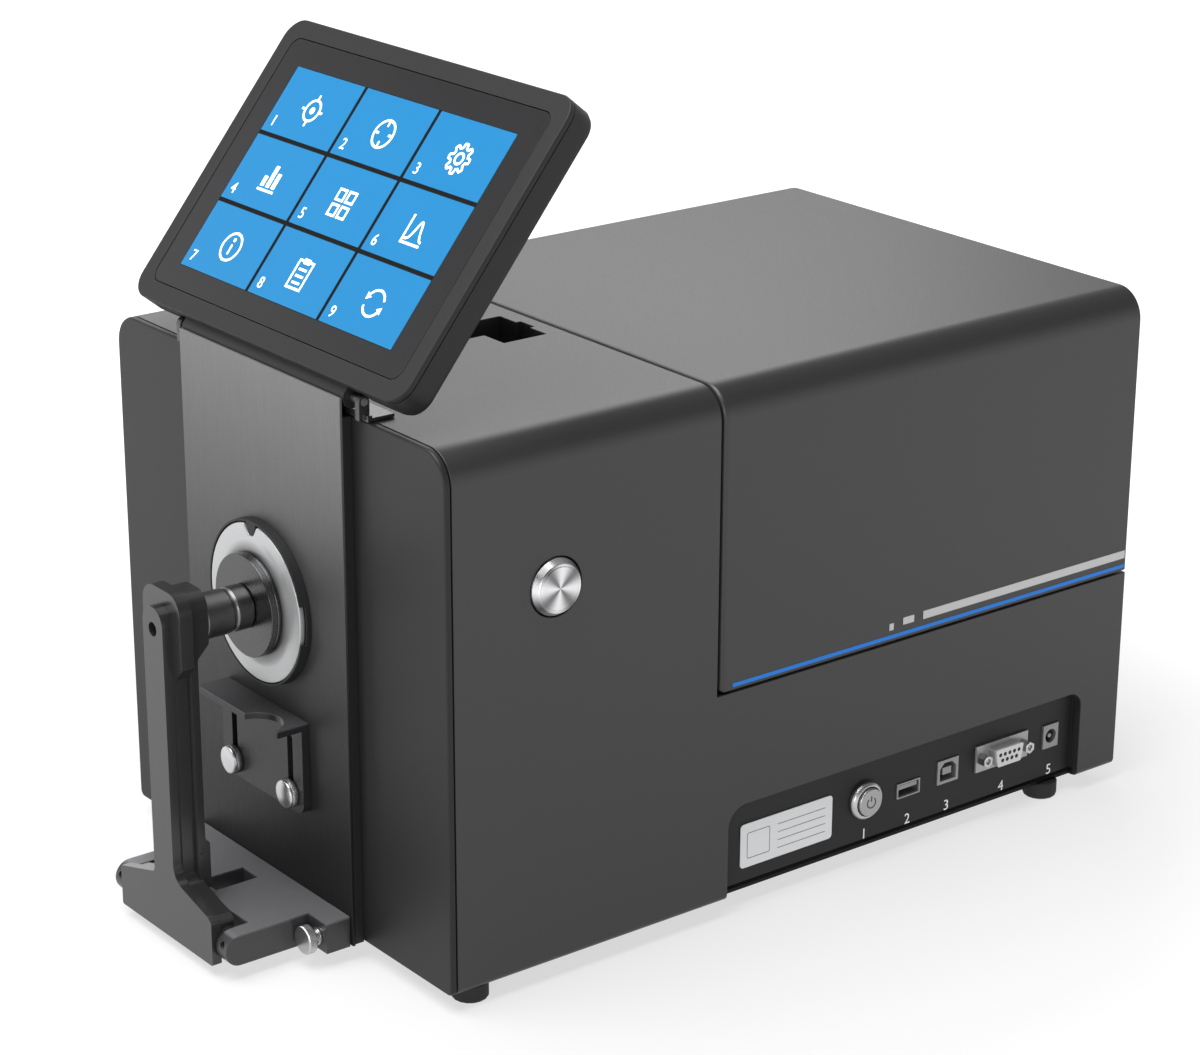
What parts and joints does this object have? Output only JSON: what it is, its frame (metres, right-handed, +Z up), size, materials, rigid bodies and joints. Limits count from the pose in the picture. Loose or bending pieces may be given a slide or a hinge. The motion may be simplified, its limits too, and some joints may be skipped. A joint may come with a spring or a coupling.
{
  "type": "benchtop spectrophotometer",
  "caption": "Benchtop colour spectrophotometer with a tilting touch display, a front measuring port with a swinging specimen clamp and shelf, and a sliding rear hood.",
  "frame": {"origin": "middle of the bounding box's base, on the surface that the rubber feet stand on", "axes": "+Z up, -Y out of the measuring port towards the user, +X towards the side with the sockets"},
  "size_m": [0.2378, 0.4184, 0.3436],
  "materials": {
    "dark_shell": "charcoal, fine satin texture",
    "cast_metal": "cast, plain",
    "black_plastic": "black, satin",
    "satin_panel": "satin grey",
    "rubber": "black, matt",
    "light_plate": "light grey, satin",
    "white_coat": "white diffuse coating",
    "black_metal": "black anodised, satin",
    "board_green": "green solder resist",
    "label_stock": "blank light grey label",
    "brushed_metal": "brushed",
    "bright_metal": "polished",
    "dark_glass": "dark display window",
    "clear_glass": "clear"
  },
  "bodies": {
    "instrument_body": {"base_tray": "black_metal", "main_housing": "dark_shell", "front_frame": "dark_shell", "panel_backing": "black_plastic", "front_panel": "satin_panel", "hood_rail_left": "brushed_metal", "hood_rail_right": "brushed_metal", "compartment_bulkhead": "black_plastic", "compartment_deck": "black_plastic", "foot_front_left": "rubber", "foot_front_right": "rubber", "foot_rear_left": "rubber", "foot_rear_right": "rubber", "bayonet_ring": "black_plastic", "aperture_mask": "light_plate", "sphere_front_half": "white_coat", "sphere_rear_half": "white_coat", "sphere_port_tube": "white_coat", "sphere_stand": "cast_metal", "lamp_housing": "cast_metal", "optic_head": "black_metal", "spectrometer_module": "black_metal", "transmission_lamp": "black_metal", "collimator_lens": "clear_glass", "sample_holder": "black_metal", "main_board": "board_green", "socket_board": "board_green", "port_plate": "black_plastic", "rating_label": "label_stock", "power_switch_body": "brushed_metal", "usb_a_socket": "brushed_metal", "usb_b_socket": "brushed_metal", "serial_socket": "brushed_metal", "serial_jackscrew_front": "bright_metal", "serial_jackscrew_rear": "bright_metal", "dc_socket": "black_plastic", "test_switch": "black_plastic", "hinge_bracket": "black_metal", "hinge_pin": "brushed_metal", "shelf_stud_left": "brushed_metal", "shelf_stud_right": "brushed_metal", "clamp_base": "black_metal", "clamp_hinge_pin": "brushed_metal"},
    "display": {"display_back_cover": "dark_shell", "display_bezel": "dark_shell", "display_glass": "dark_glass", "lcd_module": "black_plastic", "display_board": "board_green"},
    "rear_hood": {"hood": "dark_shell"},
    "swing_arm": {"clamp_arm": "black_metal", "clamp_housing": "black_metal"},
    "plunger": {"plunger_shaft": "black_metal", "clamp_disc": "bright_metal"},
    "shelf": {"specimen_shelf": "black_metal"},
    "left_shelf_nut": {"shelf_nut_left": "bright_metal"},
    "right_shelf_nut": {"shelf_nut_right": "bright_metal"},
    "left_base_thumbscrew": {"base_thumbscrew_left": "bright_metal"},
    "right_base_thumbscrew": {"base_thumbscrew_right": "bright_metal"},
    "test_push_button": {"test_button": "brushed_metal"},
    "power_push_button": {"power_button": "bright_metal"}
  },
  "joints": [
    {"name": "display_tilt", "type": "hinge", "parent": "instrument_body", "child": "display", "pos_m": [-0.0014, -0.1523, 0.2344], "axis": [1, 0, 0], "range_deg": [-51.1, 15]},
    {"name": "hood_slide", "type": "slide", "parent": "instrument_body", "child": "rear_hood", "axis": [0, 1, 0], "range_m": [0, 0.115]},
    {"name": "clamp_arm_swing", "type": "hinge", "parent": "instrument_body", "child": "swing_arm", "pos_m": [-0.0014, -0.2011, 0.0135], "axis": [1, 0, 0], "range_deg": [0, 80]},
    {"name": "plunger_slide", "type": "slide", "parent": "swing_arm", "child": "plunger", "axis": [0, -1, 0], "range_m": [0, 0.008], "stiffness_N_per_m": 300, "springref_m": -0.004},
    {"name": "shelf_height", "type": "slide", "parent": "instrument_body", "child": "shelf", "axis": [0, 0, 1], "range_m": [-0.0225, 0]},
    {"name": "left_shelf_nut_turn", "type": "hinge", "parent": "instrument_body", "child": "left_shelf_nut", "pos_m": [-0.02225, -0.164, 0.0619], "axis": [0, 1, 0], "continuous": true},
    {"name": "right_shelf_nut_turn", "type": "hinge", "parent": "instrument_body", "child": "right_shelf_nut", "pos_m": [0.01945, -0.164, 0.0619], "axis": [0, 1, 0], "continuous": true},
    {"name": "left_base_thumbscrew_turn", "type": "hinge", "parent": "instrument_body", "child": "left_base_thumbscrew", "pos_m": [-0.0506, -0.17, 0.012], "axis": [0, 1, 0], "continuous": true},
    {"name": "right_base_thumbscrew_turn", "type": "hinge", "parent": "instrument_body", "child": "right_base_thumbscrew", "pos_m": [0.0478, -0.17, 0.012], "axis": [0, 1, 0], "continuous": true},
    {"name": "test_button_push", "type": "slide", "parent": "instrument_body", "child": "test_push_button", "axis": [-1, 0, 0], "range_m": [0, 0.0015], "stiffness_N_per_m": 900, "springref_m": -0.001},
    {"name": "power_button_push", "type": "slide", "parent": "instrument_body", "child": "power_push_button", "axis": [-1, 0, 0], "range_m": [0, 0.001], "stiffness_N_per_m": 900, "springref_m": -0.001}
  ]
}
